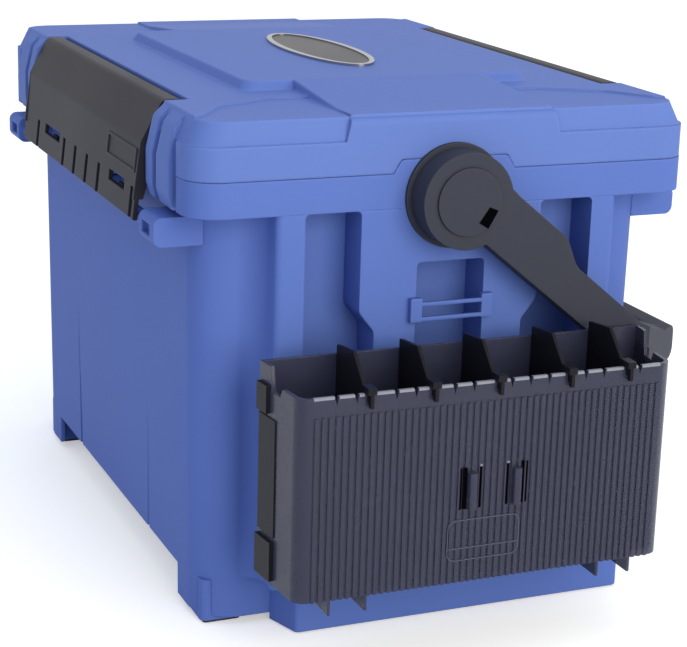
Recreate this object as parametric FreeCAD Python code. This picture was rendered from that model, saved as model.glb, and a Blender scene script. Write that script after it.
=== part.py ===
"""Fishing tackle seat box: a blue moulded case with a seat lid held by two full-length side
latches, a swinging carry handle on the short ends, an inner tray and a clear pocket.

Millimetres. +X is the box's width, +Y its length, +Z up. The origin is on the floor under the
middle of the space that the box takes up with its pocket, so the box itself stands frame_y
further along +Y. The pocket hangs on the -Y end."""
import FreeCAD
import Part
import os
from math import cos, hypot, pi, radians, sin, tan

V = FreeCAD.Vector

# ---------------------------------------------------------------- driving dimensions
# Case
RIM_LENGTH = 424.0          # over the rim at the short ends
RIM_WIDTH = 314.0           # over the rim at the four corners
RIM_CORNER_R = 20.0
RIM_HEIGHT = 20.0
RIM_Z = 273.0               # top of the rim, where the lid sits
RIM_WAIST_STEP = 11.0       # how far the rim stands in between its corners, under the latches
CORNER_BLOCK = 30.0         # length of each full-width corner of the rim
END_RELIEF = 24.0           # how far the short ends are cut back between their pillars
SIDE_STEP = 13.0            # how far the long sides stand in from the rim corners
CASE_CORNER_R = 26.0
SIDE_DRAFT = 2.5            # lean of the long sides over their height
WALL = 3.0
FLOOR_Z = 28.0              # underside of the floor
SIDE_FOOT_Z = 25.0          # lower edge of the long sides
CORNER_FOOT_Z = 5.0         # lower edge of the case at its corners
CORNER_LEG = 45.0           # length of each corner that reaches down
SKIRT_Z = 1.0               # lower edge of the skirts under the short ends
SKIRT_TOP = 30.0
SKIRT_SHORT = 8.5           # how far a skirt's chamfered end stops short of its pillar's edge
SKIRT_LONG = 20.0           # how far its other end runs past the other pillar
SKIRT_CHAMFER = 8.0

# Pillars and windows of the short ends
PILLAR_X = 98.75            # from the middle to a pillar's middle
PILLAR_WIDTH = 16.5
PILLAR_EDGE_R = 4.0
PILLAR_ROOT_R = 12.0
PANEL_WIDTH = 113.0         # middle panel above its waist
PANEL_WAIST = 94.0          # and below it
WAIST_DROP = 65.0           # from the rim's underside to the panel's waist
WAIST_SLOPE = 6.0
WINDOW_WIDTH = 43.0
WINDOW_DROP = 32.0          # from the rim's underside to the middle window
WINDOW_CORNER_R = 3.0
TAB_WIDTH = 76.0            # raised tab of the rim round the handle's hub
TAB_TOP_WIDTH = 66.0
TAB_RISE = 8.0
TAB_CORNER_R = 3.0

# Feet
FOOT_LENGTH = 27.0
FOOT_WIDTH = 27.0
FOOT_INSET_X = 5.0          # from the case's side to a foot's outer face
FOOT_INSET_Y = 6.5
FOOT_CORNER_R = 4.0
PAD_THICKNESS = 2.0
PAD_INSET = 2.0

# Scoops down the long sides
SCOOP_Y = 84.0
SCOOP_TOP = 130.0
SCOOP_WIDTH = 10.0
SCOOP_DEPTH = 3.0

# Latch bars
BAR_STANDOFF = 3.0          # how far a bar's centre stands out past the rim corners
BAR_DROP = 14.5             # from the rim's underside to a bar's centre
BAR_R = 4.2
BAR_WEB = 4.0
WEB_TRIM = 0.4              # how much thinner than the bar its webs are, above and below
BLOCK_HEIGHT = 17.0
BLOCK_RISE = 1.0            # how far a block's middle stands above its bar's centre
BLOCK_REACH = 7.5           # how far a block stands out past the bar's centre
BLOCK_EDGE_R = 5.0
BLOCK_SLOT_SHARE = 0.54     # length of a block's slot as a share of the block's
BLOCK_SLOT_HEIGHT = 7.0
BLOCK_SLOT_DEPTH = 6.0

# Lid
LID_SETBACK = 0.4           # clearance between the lid's ends and the handle's hub plates
PARTING_GAP = 0.3
BAND_HEIGHT = 19.5          # from the rim's top to the step line round the lid
PAD_STEP = 1.8
SHOULDER_HEIGHT = 14.5      # from the step line to the lid's shoulders
SHOULDER_LEAN_SIDE = 6.5
SHOULDER_LEAN_END = 3.0
CORNER_DROP = 1.2
CORNER_STEP = ((0.44, 0.326), (0.21, 0.236), (0.091, 0.109))   # in from its side and end
CORNER_STEP_R = 6.0
TONGUE_WIDTH = 124.0
TONGUE_FLARE = 5.0
TONGUE_DROP = 2.0           # how far the tongue's lip is below the shoulders
TONGUE_LIP_R = 4.0
TONGUE_BEND_R = 30.0
PLATFORM_HEIGHT = 5.5       # from the shoulders to the seat
PLATFORM_WIDTH = 184.0
PLATFORM_LENGTH = 230.0
PLATFORM_SLOPE = 4.0
PLATFORM_CORNER_R = 12.0
EAR_DROP = 21.0             # how far the ears hang below the rim's top
EAR_CLEARANCE = 4.0         # between the rim and the ears
EAR_END_GAP = 4.0           # between the ears and the rim corners
EAR_SKIN = 4.0
EAR_RIB = 0.3               # share of the narrow rib in the room beside a latch
EAR_WIDE_RIB = 0.5          # and of the wide one; the groove between them has the rest
EAR_PROUD = 6.0
EAR_TOP_DROP = 1.5          # from the shoulders down to the top of the ribs
EAR_ROOT = 8.0              # how far the ribs reach in over the shoulders
EAR_SLOPE = 8.0             # height of a rib's lower slope
BADGE_LENGTH = 150.0
BADGE_WIDTH = 48.0
BADGE_RIM = 4.0
BADGE_RIM_HEIGHT = 1.6
BADGE_FACE_HEIGHT = 0.9

# Latches
LATCH_LENGTH = 270.0
LATCH_END_GAP = 3.0
LATCH_PIVOT_INSET = 5.0     # from the rim's waist in to a latch's pivot
LATCH_BARREL_R = 6.0
LATCH_BARREL_GAP = 0.6
LATCH_PLATE = 2.6
LATCH_BROW = 8.0            # flat top of a latch outside its pivot
LATCH_CREASE_OUT = 13.0     # from the brow out to the crease
LATCH_CREASE_DROP = 24.0    # and down to it
LATCH_HEM_DROP = 1.0        # how far the lower edge is below the bar's centre
LATCH_BAR_GAP = 0.35
CHEEK_RISE = 12.0           # from the latch's lower edge to its end cheeks
CHEEK_DEPTH = 6.5
LATCH_ROD_R = 2.2
ROD_RUNNING_GAP = 0.06
ROD_SEAT = 8.0
COMB_SLOT_WIDTH = 6.0
COMB_SLOT_HEIGHT = 18.5
COMB_SLOTS = (-0.72, -0.207, 0.0, 0.207, 0.415, 0.948)    # places, as shares of half its length
COMB_WINDOWS = ((-0.585, -0.296), (0.585, 0.83))
COMB_WINDOW_RISE = 13.0     # from the latch's lower edge to its windows
COMB_WINDOW_HEIGHT = 6.5
FRAME_SPAN = (0.53, 0.97)   # bare raised frame on a latch's face, shares of half its length
FRAME_RISE = 27.0           # from the latch's lower edge to the frame
FRAME_HEIGHT = 14.0
FRAME_LINE = 1.6
FRAME_PROUD = 0.8
SNAP_PAD_LENGTH = 9.0
SNAP_PADS = (-0.83, -0.46, -0.104, 0.104, 0.311, 0.711)   # shares of half the latch's length
SNAP_PAD_HEIGHT = 12.0
SNAP_PAD_FOOT = 1.0

# Handle
HUB_DROP = 13.7             # from the rim's top to the hub's centre
HUB_PLATE_R = 30.5
HUB_PLATE_THICKNESS = 2.5
ARM_GAP = 0.3
ARM_THICKNESS = 17.2
ARM_WALL = 3.0
ARM_BOSS_R = 27.8
ARM_WIDTH = 24.2
ARM_LEAN = 39.07            # rest angle of the arms below level, on the +X side
ARM_SHOULDER_START = 25.0
ARM_SHOULDER_END = 66.0
ARM_SHOULDER_RISE = 9.0
ARM_STRAIGHT = 142.0        # from the hub to where an arm's upper edge bends up to the grip
ARM_HOLLOW = 128.0          # from the hub to the end of an arm's hollow
ELBOW_X = 124.0             # width position where an arm turns in towards the grip
ELBOW_TURN = 17.0           # how far the arms turn in past the rim's ends
ELBOW_CLEARANCE = 3.5       # between the turned-in ends and the lid's corners as they swing by
GRIP_DROP = 104.8           # from the hub's centre down to the resting grip's
GRIP_SIDE_GAP = 0.4         # between the resting grip and the case's side
GRIP_WIDTH = 21.4
GRIP_EDGE_R = 6.5
GRIP_WALL = 3.5
GRIP_PLUG = 16.0            # length of each arm's plug inside the grip
GRIP_SCREW_R = 2.5
GRIP_SCREW_HEAD_R = 4.5
GRIP_SCREW_HEAD = 2.2
BUSH_R = 8.0
BUSH_FLANGE_R = 12.0
BUSH_FLANGE = 3.0
BUSH_RUNNING_GAP = 0.06
BOLT_R = 3.0
BOLT_HEAD_R = 6.5
BOLT_HEAD = 4.0
WASHER_R = 11.0
WASHER_THICKNESS = 1.2
CAP_R = 19.5
CAP_PROUD = 1.6
CAP_DISH = 1.8
CAP_SLOT_R = 15.0
CAP_SLOT_WIDTH = 5.0
CAP_SLOT_SPAN = 36.0
CAP_SLOT_ANGLE = -35.0

# Rail across each end window
RAIL_WIDTH = 52.0
RAIL_END = 7.0
RAIL_DROP = 20.5            # from the top of the window to the top of the rail
RAIL_HEIGHT = 14.0
RAIL_BAR = 2.2
RAIL_LOW_INSET = 0.5        # from the rail's lower edge to its lower bar
RAIL_HIGH_INSET = 2.5
RAIL_PROUD = 4.0

# Clear pocket
POCKET_WIDTH = 228.0
POCKET_X = -5.0
POCKET_BACK = 22.0          # from the case's end face to the pocket's back
POCKET_DEPTH = 48.0
POCKET_FLARE = 5.0
POCKET_FOOT_Z = 53.0
POCKET_HEIGHT = 117.0       # of the front wall
POCKET_BACK_RISE = 9.0      # how much higher the back wall is
POCKET_DIP = 5.0            # dip in the end walls
POCKET_DIP_START = 13.0
POCKET_DIP_LENGTH = 12.0
POCKET_DIP_SLOPE = 2.5
POCKET_CORNER_R = 8.0
POCKET_WALL = 2.4
POCKET_RIB = 1.0
POCKET_RIB_PITCH = 4.1
POCKET_RIB_MARGIN = 9.0
POCKET_BAND = 11.0          # plain band above the ribs
NOTCH_PITCH = 11.6
NOTCH_WIDTH = 2.6
NOTCH_DEPTH = 5.0
DIVIDERS = (-0.649, -0.316, 0.031, 0.417, 0.746)   # places, shares of half the pocket's width
DIVIDER_THICKNESS = 2.0
DIVIDER_LIFT = 6.0          # from the pocket's floor to a divider's foot
DIVIDER_RISE = 14.5         # from the front wall's edge to a divider's back top corner
DIVIDER_TOP = 23.5          # length of a divider's top edge
DIVIDER_TOP_RISE = 2.5
DIVIDER_CAP_WIDTH = 5.0     # block that rests on the front wall's edge
DIVIDER_CAP_HEIGHT = 3.6
DIVIDER_CAP_LENGTH = 9.5
DIVIDER_GAP = 0.3
DIVIDER_HOOK = 3.0
DIVIDER_HOOK_DROP = 2.5
BLADES = (-0.807, -0.614, 0.675, 0.86)
BLADE_THICKNESS = 1.6
BLADE_DROP = 12.0
BLADE_LENGTH = 30.0
BLADE_SETBACK = 6.0
HANGER_WIDTH = 90.0
HANGER_ARM_WIDTH = 50.0
HANGER_HEIGHT = 62.0
HANGER_DROP = 12.0          # from the pocket's front edge to the hanger's top
HANGER_PLATE = 3.0
HANGER_SCREW_INSET = 9.0
HANGER_SCREW_R = 2.0
HANGER_SCREW_HEAD_R = 4.0
HANGER_SCREW_LENGTH = 5.6
HANGER_SCREW_HEAD = 2.0

# Tray
TRAY_LENGTH = 195.0
TRAY_DEPTH = 42.0
TRAY_WALL = 2.2
TRAY_SIDE_GAP = 1.2
TRAY_CORNER_R = 12.0
LEDGE_DROP = 48.0           # from the rim's underside to the tray's ledges
LEDGE_WIDTH = 5.0
LEDGE_HEIGHT = 4.0
TRAY_PARTITIONS = (-0.328, 0.291)   # places, shares of half the tray's width
PARTITION_THICKNESS = 2.0
PARTITION_GAP = 0.3
PARTITION_DROP = 5.0        # how far the partitions stop below the tray's edge
RUNNER = 1.8

# ---------------------------------------------------------------- places that follow
rim_x = RIM_WIDTH / 2
rim_y = RIM_LENGTH / 2
rim_foot_z = RIM_Z - RIM_HEIGHT
waist_x = rim_x - RIM_WAIST_STEP
case_x = rim_x - SIDE_STEP
case_y = rim_y - END_RELIEF
pillar_x = PILLAR_X + PILLAR_WIDTH / 2
foot_x = case_x - FOOT_INSET_X - FOOT_WIDTH / 2
foot_y = case_y - FOOT_INSET_Y - FOOT_LENGTH / 2
bar_x = rim_x + BAR_STANDOFF
bar_z = rim_foot_z - BAR_DROP
block_z = bar_z + BLOCK_RISE - BLOCK_HEIGHT / 2
lid_y = rim_y - LID_SETBACK
lid_foot_z = RIM_Z + PARTING_GAP
groove_z = RIM_Z + BAND_HEIGHT
shoulder_z = groove_z + SHOULDER_HEIGHT
seat_z = shoulder_z + PLATFORM_HEIGHT
ear_foot_z = RIM_Z - EAR_DROP
ear_inner_x = waist_x + EAR_CLEARANCE
ear_skin_x = ear_inner_x + EAR_SKIN
ear_inner_y = LATCH_LENGTH / 2 + LATCH_END_GAP
block_y = rim_y - CORNER_BLOCK
ear_end_y = block_y - EAR_END_GAP
ear_room = ear_end_y - ear_inner_y
ear_groove_y = ear_inner_y + EAR_RIB * ear_room
ear_wide_y = ear_end_y - EAR_WIDE_RIB * ear_room
latch_pivot_x = waist_x - LATCH_PIVOT_INSET
latch_pivot_z = shoulder_z - LATCH_BARREL_R
latch_hem_z = bar_z - LATCH_HEM_DROP
latch_hem_x = bar_x + BAR_R + LATCH_BAR_GAP + LATCH_PLATE
latch_channel_r = LATCH_BARREL_R + LATCH_BARREL_GAP
rod_end_y = ear_inner_y + ROD_SEAT
comb_y = [share * LATCH_LENGTH / 2 for share in COMB_SLOTS]
hub_z = RIM_Z - HUB_DROP
arm_inner_y = rim_y + HUB_PLATE_THICKNESS + ARM_GAP
arm_outer_y = arm_inner_y + ARM_THICKNESS
pocket_back_y = rim_y + POCKET_BACK
pocket_front_y = pocket_back_y + POCKET_DEPTH
pocket_edge_z = POCKET_FOOT_Z + POCKET_HEIGHT
divider_x = [POCKET_X + share * POCKET_WIDTH / 2 for share in DIVIDERS]
window_top_z = rim_foot_z - WINDOW_DROP
hanger_top_z = pocket_edge_z - HANGER_DROP
hanger_foot_z = hanger_top_z - HANGER_HEIGHT
tray_z = rim_foot_z - LEDGE_DROP
tray_x = case_x - SIDE_DRAFT - WALL - TRAY_SIDE_GAP
tray_start_y = -case_y + WALL + TRAY_SIDE_GAP
tray_end_y = tray_start_y + TRAY_LENGTH
partition_x = [share * tray_x for share in TRAY_PARTITIONS]
hook_y = pocket_front_y + POCKET_RIB + DIVIDER_GAP + DIVIDER_HOOK
cap_y = arm_outer_y + CAP_PROUD
frame_y = (hook_y - cap_y) / 2   # puts the origin in the middle of the whole


def side_face_x(z):
    """Width position of the case's drafted side at a height."""
    return case_x - SIDE_DRAFT * (RIM_Z - z) / RIM_Z


grip_z = hub_z - GRIP_DROP
grip_x = side_face_x(grip_z) + GRIP_SIDE_GAP + GRIP_WIDTH / 2
grip_y = rim_y - ELBOW_TURN
elbow_r = hypot(rim_x + ELBOW_CLEARANCE, groove_z - hub_z)


# ---------------------------------------------------------------- shape helpers
def rounded_wire(corners, z):
    """Closed wire at height z through (x, y, radius) corners, each with its own rounding."""
    count = len(corners)
    starts = []
    middles = []
    ends = []
    for index, (x, y, radius) in enumerate(corners):
        here = V(x, y, z)
        before = V(corners[index - 1][0], corners[index - 1][1], z) - here
        after = V(corners[(index + 1) % count][0], corners[(index + 1) % count][1], z) - here
        before.normalize()
        after.normalize()
        half = before.getAngle(after) / 2
        if radius == 0:
            starts.append(here)
            middles.append(None)
            ends.append(here)
            continue
        reach = radius / tan(half)
        bisector = (before + after).normalize()
        starts.append(here + before * reach)
        middles.append(here + bisector * (radius / sin(half) - radius))
        ends.append(here + after * reach)
    edges = []
    for index in range(count):
        if middles[index] is not None:
            edges.append(Part.Arc(starts[index], middles[index], ends[index]).toShape())
        following = starts[(index + 1) % count]
        if (following - ends[index]).Length > 1e-6:
            edges.append(Part.LineSegment(ends[index], following).toShape())
    return Part.Wire(edges)


def prism(corners, low, high):
    """Upright solid on a rounded outline."""
    return Part.Face(rounded_wire(corners, low)).extrude(V(0, 0, high - low))


def block(x0, x1, y0, y1, z0, z1):
    """Box between two corners given as ranges."""
    return Part.makeBox(x1 - x0, y1 - y0, z1 - z0, V(x0, y0, z0))


def along_y(points, y0, y1, radii=None):
    """Solid with an (x, z) outline, running from y0 to y1."""
    radii = radii or [0] * len(points)
    flat = Part.Face(rounded_wire([(x, z, r) for (x, z), r in zip(points, radii)], 0))
    flat.rotate(V(0, 0, 0), V(1, 0, 0), 90)
    flat.translate(V(0, y0, 0))
    return flat.extrude(V(0, y1 - y0, 0))


def along_x(points, x0, x1, radii=None):
    """Solid with a (y, z) outline, running from x0 to x1."""
    radii = radii or [0] * len(points)
    flat = Part.Face(rounded_wire([(y, z, r) for (y, z), r in zip(points, radii)], 0))
    flat.rotate(V(0, 0, 0), V(1, 1, 1), 120)
    flat.translate(V(x0, 0, 0))
    return flat.extrude(V(x1 - x0, 0, 0))


def rod_y(radius, x, z, y0, y1):
    """Round bar along Y."""
    return Part.makeCylinder(radius, y1 - y0, V(x, y0, z), V(0, 1, 0))


def frustum(half_x0, half_y0, low, half_x1, half_y1, high, radius):
    """Solid between two centred rectangles, with its four slanting edges rounded."""
    reach_x = max(half_x0, half_x1)
    reach_y = max(half_y0, half_y1)
    across = [(-half_x0, low), (half_x0, low), (half_x1, high), (-half_x1, high)]
    along = [(-half_y0, low), (half_y0, low), (half_y1, high), (-half_y1, high)]
    solid = along_y(across, -reach_y, reach_y).common(along_x(along, -reach_x, reach_x))
    slanting = [edge for edge in solid.Edges if abs(edge.tangentAt(edge.FirstParameter).z) > 0.5]
    return solid.makeFillet(radius, slanting)


def wedge(a, b, c, d):
    """Solid with four flat faces between four points."""
    faces = [Part.Face(Part.makePolygon([p, q, r, p]))
             for p, q, r in ((a, b, c), (a, b, d), (b, c, d), (a, c, d))]
    solid = Part.Solid(Part.Shell(faces))
    if solid.Volume < 0:
        solid.reverse()
    return solid


def flipped_x(shape):
    """Copy mirrored to the other long side."""
    return shape.mirror(V(0, 0, 0), V(1, 0, 0))


def flipped_y(shape):
    """Copy mirrored to the other short end."""
    return shape.mirror(V(0, 0, 0), V(0, 1, 0))


def turned(shape):
    """Copy turned half round about the upright axis."""
    copy = shape.copy()
    copy.rotate(V(0, 0, 0), V(0, 0, 1), 180)
    return copy


def both_sides(shape):
    """The shape and its mirror copy on the other long side."""
    return [shape, flipped_x(shape)]


def four_corners(shape):
    """The shape at each of the four corners."""
    return [shape, flipped_x(shape), flipped_y(shape), flipped_y(flipped_x(shape))]


def joined(shapes):
    """One solid from touching shapes."""
    result = shapes[0].multiFuse(shapes[1:]).removeSplitter()
    return result.Solids[0] if len(result.Solids) == 1 else result


def offset_line(points, distance):
    """Polyline moved sideways by a distance, with mitred corners; positive is to the left."""
    normals = []
    for (x0, z0), (x1, z1) in zip(points, points[1:]):
        length = hypot(x1 - x0, z1 - z0)
        normals.append((-(z1 - z0) / length, (x1 - x0) / length))
    moved = []
    for index, (x, z) in enumerate(points):
        first = normals[max(index - 1, 0)]
        second = normals[min(index, len(normals) - 1)]
        mean = (first[0] + second[0], first[1] + second[1])
        scale = 2 * distance / (mean[0] ** 2 + mean[1] ** 2)
        moved.append((x + mean[0] * scale, z + mean[1] * scale))
    return moved


# ---------------------------------------------------------------- case
def quadrants(points):
    """Whole outline from the corners of its +X +Y quarter, listed from the +X axis round to +Y."""
    back = [(-x, y, r) for x, y, r in reversed(points)]
    front_left = [(-x, -y, r) for x, y, r in points]
    front_right = [(x, -y, r) for x, y, r in reversed(points)]
    return points + back + front_left + front_right


def rim_corners(inset):
    """Outline of the rim: full width at the corners, narrower between them."""
    return quadrants([(waist_x - inset, block_y + inset, 2.0 + inset),
                      (rim_x - inset, block_y + inset, 4.0 - inset),
                      (rim_x - inset, rim_y - inset, RIM_CORNER_R - inset)])


def case_core(inset, low, high):
    """Main box of the case, leaning in towards the floor."""
    return frustum(side_face_x(low) - inset, case_y - inset, low,
                   side_face_x(high) - inset, case_y - inset, high, CASE_CORNER_R - inset)


def end_block(inset, low, high):
    """Raised block of the -Y end, before its windows are cut."""
    half = pillar_x - inset
    edge = PILLAR_EDGE_R - inset
    root = case_y - 2 * WALL
    corners = [(-half, -root, 0), (-half, -rim_y + inset, max(edge, 0)),
               (half, -rim_y + inset, max(edge, 0)), (half, -root, 0)]
    return prism(corners, low, high)


def end_windows(grow):
    """The hollows of the -Y end: two beside the middle panel and one in it."""
    depth = -case_y + grow
    outer = PILLAR_X - PILLAR_WIDTH / 2 + grow
    upper = PANEL_WIDTH / 2 - grow
    lower = PANEL_WAIST / 2 - grow
    foot = SKIRT_TOP - grow
    top = rim_foot_z + grow
    waist = rim_foot_z - WAIST_DROP
    front = -rim_y - 1
    corner = 0 if grow else WINDOW_CORNER_R
    radii = [corner] * 4 + [2 * corner] * 2
    right = [(upper, top), (outer, top), (outer, foot), (lower, foot),
             (lower, waist - WAIST_SLOPE), (upper, waist + WAIST_SLOPE)]
    left = [(-x, z) for x, z in right]
    half = WINDOW_WIDTH / 2 + grow
    high = window_top_z + grow
    middle = [(-half, foot), (half, foot), (half, high), (-half, high)]
    return [along_y(right, front, depth, radii), along_y(left[::-1], front, depth, radii[::-1]),
            along_y(middle, front, depth, [corner] * 4)]


def pillar_roots():
    """Concave rounding between the end block and the case, on both sides of the -Y end."""
    far = pillar_x + PILLAR_ROOT_R
    near = case_y + PILLAR_ROOT_R
    fillet = block(pillar_x, far, -near, -case_y, SKIRT_TOP, rim_foot_z)
    fillet = fillet.cut(Part.makeCylinder(PILLAR_ROOT_R, RIM_Z, V(far, -near, 0)))
    return both_sides(fillet)


def skirt_block(inset, high):
    """Plinth below the windows of the -Y end, chamfered at its short end."""
    front = -rim_y + inset
    back = -case_y + 2 * WALL
    short = -pillar_x + SKIRT_SHORT + inset
    long = pillar_x + SKIRT_LONG - inset
    corners = [(short, back, 0), (short, -case_y, 0), (short + SKIRT_CHAMFER, front, 3),
               (long, front, 5 - inset), (long, back, 0)]
    return prism(corners, SKIRT_Z - inset, high)


def end_skirt():
    """Plinth of the -Y end: front, ends and top, open below and towards the case."""
    skirt = skirt_block(0, SKIRT_TOP).cut(skirt_block(WALL, SKIRT_TOP - WALL))
    return skirt.cut(case_core(0, SKIRT_Z - 1, RIM_Z)).Solids[0]


def side_scoops(grow):
    """Tapered hollows down the long sides: wide and deep at the bottom, nothing at the top."""
    low = SIDE_FOOT_Z - 10
    face = side_face_x(low) + WALL
    deep = side_face_x(low) - SCOOP_DEPTH - grow
    start = -SCOOP_Y - grow
    tool = wedge(V(face, start, low), V(face, start + SCOOP_WIDTH + 2 * grow, low),
                 V(deep, start, low), V(side_face_x(SCOOP_TOP), start, SCOOP_TOP + grow))
    return four_corners(tool)


def latch_bar():
    """Round bar along the +X side, its webs and its end blocks, up to the case's face."""
    end = (ear_groove_y + ear_end_y) / 2
    root = case_x - WALL - SIDE_DRAFT
    face = bar_x + BLOCK_REACH
    low = bar_z - BAR_R + WEB_TRIM
    high = bar_z + BAR_R - WEB_TRIM
    pieces = [rod_y(BAR_R, bar_x, bar_z, -end, end)]
    for y in comb_y:
        pieces.append(block(root, bar_x, y - BAR_WEB / 2, y + BAR_WEB / 2, low, high))
    top = block_z + BLOCK_HEIGHT
    outline = [(root, block_z), (face, block_z), (face, top), (root, top)]
    end_piece = along_y(outline, ear_groove_y, ear_end_y, [0, BLOCK_EDGE_R, BLOCK_EDGE_R, 0])
    length = (ear_end_y - ear_groove_y) * BLOCK_SLOT_SHARE
    slot_y = (ear_groove_y + ear_end_y - length - WALL) / 2
    slot_z = block_z + (BLOCK_HEIGHT - BLOCK_SLOT_HEIGHT) / 2
    slot = block(face - BLOCK_SLOT_DEPTH, face + 1, slot_y, slot_y + length,
                 slot_z, slot_z + BLOCK_SLOT_HEIGHT)
    end_piece = end_piece.cut(slot)
    pieces += [end_piece, flipped_y(end_piece)]
    return joined(pieces).cut(case_core(0, CORNER_FOOT_Z, RIM_Z)).Solids[0]


def hub_tab(inset):
    """Outline of the rim's tab, which rises round the handle's hub, and its roundings."""
    low = RIM_Z - WALL
    top = RIM_Z + TAB_RISE + inset
    wide = TAB_WIDTH / 2 + inset
    narrow = TAB_TOP_WIDTH / 2 + inset
    outline = [(-wide, low), (wide, low), (wide, RIM_Z), (narrow, top), (-narrow, top),
               (-wide, RIM_Z)]
    return outline, [0, 0, TAB_CORNER_R, TAB_CORNER_R, TAB_CORNER_R, TAB_CORNER_R]


def body_shell():
    """Case: drafted box with a leg at each corner, up to the underside of its rim."""
    leg_y = case_y - CORNER_LEG
    outer = case_core(0, CORNER_FOOT_Z, rim_foot_z)
    outer = outer.cut(block(-rim_x, rim_x, -leg_y, leg_y, 0, SIDE_FOOT_Z))
    hollow = case_core(WALL, FLOOR_Z + WALL, rim_foot_z + 1).cut(side_scoops(WALL))
    below = case_core(WALL, CORNER_FOOT_Z - 1, FLOOR_Z)
    return outer.cut([hollow, below] + side_scoops(0)).removeSplitter().Solids[0]


def case_rim():
    """Stepped collar round the case's top, with the tabs and bosses for the handle's hubs."""
    rim = prism(rim_corners(0), rim_foot_z, RIM_Z)
    tab = along_y(hub_tab(0)[0], -rim_y, -rim_y + WALL, hub_tab(0)[1])
    rim = rim.multiFuse([tab, turned(tab)])
    rim = rim.cut([prism(rim_corners(WALL), rim_foot_z + WALL, RIM_Z + 1),
                   case_core(WALL, rim_foot_z - 1, RIM_Z + 1)])
    boss = rod_y(BUSH_FLANGE_R, 0, hub_z, rim_y - 2 * WALL, rim_y)
    rim = rim.multiFuse([boss, turned(boss)])
    bore = rod_y(BUSH_R, 0, hub_z, rim_y - 3 * WALL, rim_y + 1)
    room = rod_y(BUSH_FLANGE_R + 1, 0, hub_z, case_y - 2 * WALL, rim_y - 2 * WALL)
    return rim.cut([bore, turned(bore), room, turned(room)]).removeSplitter().Solids[0]


def end_pieces():
    """Pillars and middle panel of the -Y end, as shells open towards the case."""
    solid = end_block(0, SKIRT_TOP, rim_foot_z).multiFuse(pillar_roots()).cut(end_windows(0))
    hollow = end_block(WALL, SKIRT_TOP + WALL, rim_foot_z + 1).cut(end_windows(WALL))
    boss = rod_y(BUSH_FLANGE_R, 0, hub_z, -rim_y - 1, -case_y)
    solid = solid.cut([hollow, boss, case_core(0, CORNER_FOOT_Z, RIM_Z)] + hanger_holes())
    solids = sorted(solid.Solids, key=lambda piece: abs(piece.CenterOfMass.x))
    return Part.makeCompound(solids[1:]), solids[0]


def foot_corners(inset):
    """Outline of the foot under the +X +Y corner."""
    half_x = FOOT_WIDTH / 2 - inset
    half_y = FOOT_LENGTH / 2 - inset
    return [(foot_x + x, foot_y + y, FOOT_CORNER_R - inset)
            for x, y in ((half_x, -half_y), (half_x, half_y), (-half_x, half_y),
                         (-half_x, -half_y))]


def foot_blocks():
    """Feet under the four corners, fitted inside the case's lower edge."""
    wall = case_core(0, CORNER_FOOT_Z, FLOOR_Z).cut(case_core(WALL, CORNER_FOOT_Z - 1, FLOOR_Z))
    foot = prism(foot_corners(0), PAD_THICKNESS, FLOOR_Z).cut(wall)
    return Part.makeCompound(four_corners(foot.Solids[0]))


def tray_ledges():
    """Ledges inside the long sides that the tray slides on."""
    root = side_face_x(tray_z) - WALL
    reach = case_y - CASE_CORNER_R
    ledge = block(root - LEDGE_WIDTH, root + WALL, -reach, reach, tray_z - LEDGE_HEIGHT, tray_z)
    ledge = ledge.common(case_core(WALL, FLOOR_Z, RIM_Z))
    return Part.makeCompound(both_sides(ledge))


# ---------------------------------------------------------------- lid
def lid_band_corners(inset):
    """Outline of the lid's lower band, stepped in at the latches."""
    return quadrants([(waist_x - inset, ear_inner_y + inset, 1.0 + inset),
                      (ear_skin_x - inset, ear_inner_y + inset, 0),
                      (ear_skin_x - inset, block_y + inset, 0.5 + inset),
                      (rim_x - inset, block_y + inset, max(4.0 - inset, 0)),
                      (rim_x - inset, lid_y - inset, RIM_CORNER_R - inset)])


def latch_zone(grow):
    """Space that the latches need along both sides of the lid."""
    half = ear_inner_y + grow
    face = waist_x - grow
    outside = block(face, RIM_WIDTH, -half, half, ear_foot_z - 20, seat_z + 20)
    channel = rod_y(latch_channel_r + grow, latch_pivot_x, latch_pivot_z, -half, half)
    above = block(latch_pivot_x - latch_channel_r - grow, RIM_WIDTH, -half, half,
                  latch_pivot_z, seat_z + 20)
    return both_sides(outside) + both_sides(channel) + both_sides(above)


def lid_ear(side_y):
    """Plate and two ribs that hang from the lid beside a latch, down to the bar's block."""
    plate = block(ear_inner_x, ear_skin_x, ear_inner_y, ear_end_y, ear_foot_z, groove_z)
    high = shoulder_z - EAR_TOP_DROP
    face = ear_skin_x + EAR_PROUD
    root = ear_inner_x - EAR_ROOT
    rib = [(ear_inner_x, ear_foot_z), (ear_skin_x + EAR_PROUD * 0.55, ear_foot_z),
           (face, rim_foot_z + EAR_SLOPE), (face, groove_z - 1.5 * EAR_SLOPE),
           (ear_skin_x + 1.5, high - 0.75 * EAR_SLOPE), (ear_inner_x - 1, high), (root, high),
           (root, groove_z), (ear_inner_x, groove_z)]
    radii = [0, 2.5, 8, 12, 6, 2, 0, 0, 0]
    narrow = along_y(rib, ear_inner_y, ear_groove_y, radii)
    wide = along_y(rib, ear_wide_y, ear_end_y, radii)
    pieces = [plate, narrow, wide]
    return pieces if side_y > 0 else [flipped_y(piece) for piece in pieces]


def shoulder(inset, low, high):
    """Part of the lid above its step line, leaning in towards the top."""
    side = rim_x - PAD_STEP - inset
    end = lid_y - PAD_STEP - inset
    radius = RIM_CORNER_R - PAD_STEP - inset
    return frustum(side, end, low, side - SHOULDER_LEAN_SIDE, end - SHOULDER_LEAN_END, high,
                   radius)


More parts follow.
